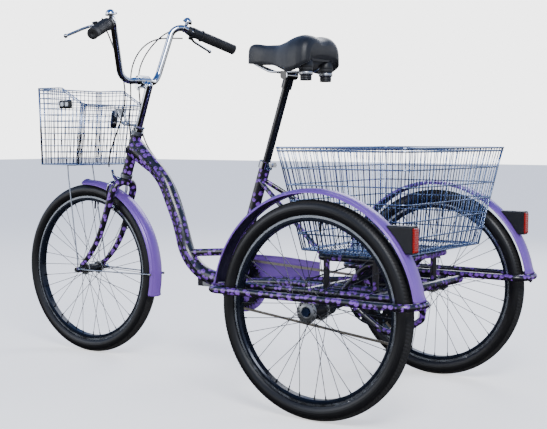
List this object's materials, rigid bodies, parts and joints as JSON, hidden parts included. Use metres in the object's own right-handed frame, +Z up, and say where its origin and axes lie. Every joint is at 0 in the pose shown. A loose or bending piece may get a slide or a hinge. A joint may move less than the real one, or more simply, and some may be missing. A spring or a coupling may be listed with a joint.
{
  "type": "adult tricycle",
  "caption": "Adult cargo tricycle with low swan-neck frame, spoked wheels, mudguards, sprung saddle, high-rise bar, chain drive and front and rear wire baskets.",
  "frame": {"origin": "on the ground, at the middle of the whole object", "axes": "+X forward, +Y to the rider's left, +Z up"},
  "size_m": [1.8219, 0.88, 1.1961],
  "materials": {
    "frame_paint": "gloss leopard-patterned paint under clear coat",
    "purple_paint": "satin purple paint",
    "black_paint": "gloss black",
    "chrome": "polished chrome",
    "basket_wire": "zinc-plated wire",
    "steel": "plain steel",
    "spoke_black": "black spokes",
    "alloy": "satin",
    "tyre": "black rubber",
    "grip_rubber": "soft black rubber",
    "black_plastic": "moulded black plastic",
    "red_lens": "clear red plastic",
    "saddle_vinyl": "black vinyl"
  },
  "bodies": {
    "frame": {"main_frame": "frame_paint", "rear_carrier": "frame_paint", "wheel_hoop_left": "frame_paint", "wheel_hoop_right": "frame_paint", "bearing_cups": "steel", "clamp_and_bolts": "steel", "rear_fender_left": "purple_paint", "rear_fender_right": "purple_paint", "tail_light_housings": "black_plastic", "tail_light_lenses": "red_lens", "rear_basket": "basket_wire", "chain_guard": "purple_paint", "chain": "steel", "derailleur": "black_paint", "disc_caliper": "black_paint", "axle_bearings": "black_paint", "frame_cables": "grip_rubber"},
    "steering": {"fork": "frame_paint", "stem": "chrome", "steering_fasteners": "steel", "handlebar": "chrome", "grips": "grip_rubber", "lever_mounts": "black_plastic", "bells": "chrome", "front_basket": "basket_wire", "front_stays": "basket_wire", "front_fender": "purple_paint", "bar_cables": "grip_rubber"},
    "front_wheel": {"front_tyre": "tyre", "front_rim": "alloy", "front_spokes": "spoke_black", "front_hub": "black_paint"},
    "left_wheel": {"left_tyre": "tyre", "left_rim": "alloy", "left_spokes": "spoke_black", "left_hub": "black_paint"},
    "drive_wheel": {"right_tyre": "tyre", "right_rim": "alloy", "right_spokes": "spoke_black", "right_hub": "black_paint", "drive_axle": "steel", "disc_rotor": "steel"},
    "crank": {"chainring": "black_paint", "crank_arms": "alloy"},
    "pedal_left": {"pedal_left": "black_plastic"},
    "pedal_right": {"pedal_right": "black_plastic"},
    "sprockets": {"freewheel": "steel"},
    "tension_pulley": {"tension_pulley": "black_plastic"},
    "guide_pulley": {"guide_pulley": "black_plastic"},
    "brake_lever_left": {"brake_lever_left": "alloy"},
    "brake_lever_right": {"brake_lever_right": "alloy"},
    "caliper_arm_left": {"caliper_arm_left": "chrome"},
    "caliper_arm_right": {"caliper_arm_right": "chrome"},
    "disc_brake_arm": {"disc_brake_arm": "black_paint"},
    "shift_sleeve": {"shift_sleeve": "black_plastic"},
    "bell_lever": {"bell_lever": "chrome"},
    "seat": {"seat_post": "black_paint", "saddle_rails": "chrome", "saddle_base": "black_plastic", "saddle_pad": "saddle_vinyl"}
  },
  "joints": [
    {"name": "steering", "type": "hinge", "parent": "frame", "child": "steering", "pos_m": [0.436, 0, 0.643], "axis": [-0.3272, 0, 0.9449], "range_deg": [-45, 45]},
    {"name": "front_wheel_spin", "type": "hinge", "parent": "steering", "child": "front_wheel", "pos_m": [0.609, 0, 0.302], "axis": [0, 1, 0], "continuous": true},
    {"name": "left_wheel_spin", "type": "hinge", "parent": "frame", "child": "left_wheel", "pos_m": [-0.578, 0.3695, 0.302], "axis": [0, 1, 0], "continuous": true},
    {"name": "drive_wheel_spin", "type": "hinge", "parent": "frame", "child": "drive_wheel", "pos_m": [-0.578, -0.3695, 0.302], "axis": [0, 1, 0], "continuous": true},
    {"name": "crank_spin", "type": "hinge", "parent": "frame", "child": "crank", "pos_m": [-0.03, 0, 0.29], "axis": [0, 1, 0], "continuous": true, "deforming": ["chain"]},
    {"name": "pedal_left_spin", "type": "hinge", "parent": "crank", "child": "pedal_left", "pos_m": [-0.19935, 0.12, 0.30482], "axis": [0, 1, 0], "continuous": true},
    {"name": "pedal_right_spin", "type": "hinge", "parent": "crank", "child": "pedal_right", "pos_m": [0.13935, -0.12, 0.27518], "axis": [0, 1, 0], "continuous": true},
    {"name": "sprocket_spin", "type": "hinge", "parent": "frame", "child": "sprockets", "pos_m": [-0.578, -0.045, 0.302], "axis": [0, 1, 0], "continuous": true},
    {"name": "tension_pulley_spin", "type": "hinge", "parent": "frame", "child": "tension_pulley", "pos_m": [-0.628, -0.045, 0.165], "axis": [0, 1, 0], "continuous": true},
    {"name": "guide_pulley_spin", "type": "hinge", "parent": "frame", "child": "guide_pulley", "pos_m": [-0.596, -0.045, 0.222], "axis": [0, 1, 0], "continuous": true},
    {"name": "brake_lever_left_pull", "type": "hinge", "parent": "steering", "child": "brake_lever_left", "pos_m": [0.345, 0.245, 1.134], "axis": [0, 0.333, 0.9429], "range_deg": [0, 22], "stiffness_Nm_per_rad": 0.8, "springref_deg": -5.73},
    {"name": "brake_lever_right_pull", "type": "hinge", "parent": "steering", "child": "brake_lever_right", "pos_m": [0.345, -0.245, 1.134], "axis": [0, 0.333, -0.9429], "range_deg": [0, 22], "stiffness_Nm_per_rad": 0.8, "springref_deg": -5.73},
    {"name": "caliper_left_pivot", "type": "hinge", "parent": "steering", "child": "caliper_arm_left", "pos_m": [0.47042, 0, 0.62], "axis": [-0.9449, 0, -0.3272], "range_deg": [0, 1.2]},
    {"name": "caliper_right_pivot", "type": "hinge", "parent": "steering", "child": "caliper_arm_right", "pos_m": [0.48082, 0, 0.6236], "axis": [0.9449, 0, 0.3272], "range_deg": [0, 1.2]},
    {"name": "disc_brake_pivot", "type": "hinge", "parent": "frame", "child": "disc_brake_arm", "pos_m": [-0.624, 0.068, 0.358], "axis": [0, 1, 0], "range_deg": [0, 18]},
    {"name": "shift_twist", "type": "hinge", "parent": "steering", "child": "shift_sleeve", "pos_m": [0.29975, -0.23125, 1.1368], "axis": [-0.3749, -0.8748, -0.3068], "range_deg": [-60, 60]},
    {"name": "bell_lever_flick", "type": "hinge", "parent": "steering", "child": "bell_lever", "pos_m": [0.30666, 0.19595, 1.17282], "axis": [-0.1208, 0.282, 0.9518], "range_deg": [0, 20], "stiffness_Nm_per_rad": 0.05, "springref_deg": -11.46},
    {"name": "seat_height", "type": "slide", "parent": "frame", "child": "seat", "axis": [-0.3074, 0, 0.9516], "range_m": [-0.06, 0.04]}
  ],
  "couplings": [
    {"joint": "sprocket_spin", "follows": "crank_spin", "ratio": 2},
    {"joint": "tension_pulley_spin", "follows": "crank_spin", "ratio": 3.6364},
    {"joint": "guide_pulley_spin", "follows": "crank_spin", "ratio": -3.6364},
    {"joint": "caliper_left_pivot", "follows": "brake_lever_left_pull", "ratio": 0.054545},
    {"joint": "caliper_right_pivot", "follows": "brake_lever_left_pull", "ratio": 0.054545},
    {"joint": "disc_brake_pivot", "follows": "brake_lever_right_pull", "ratio": 0.81818}
  ]
}
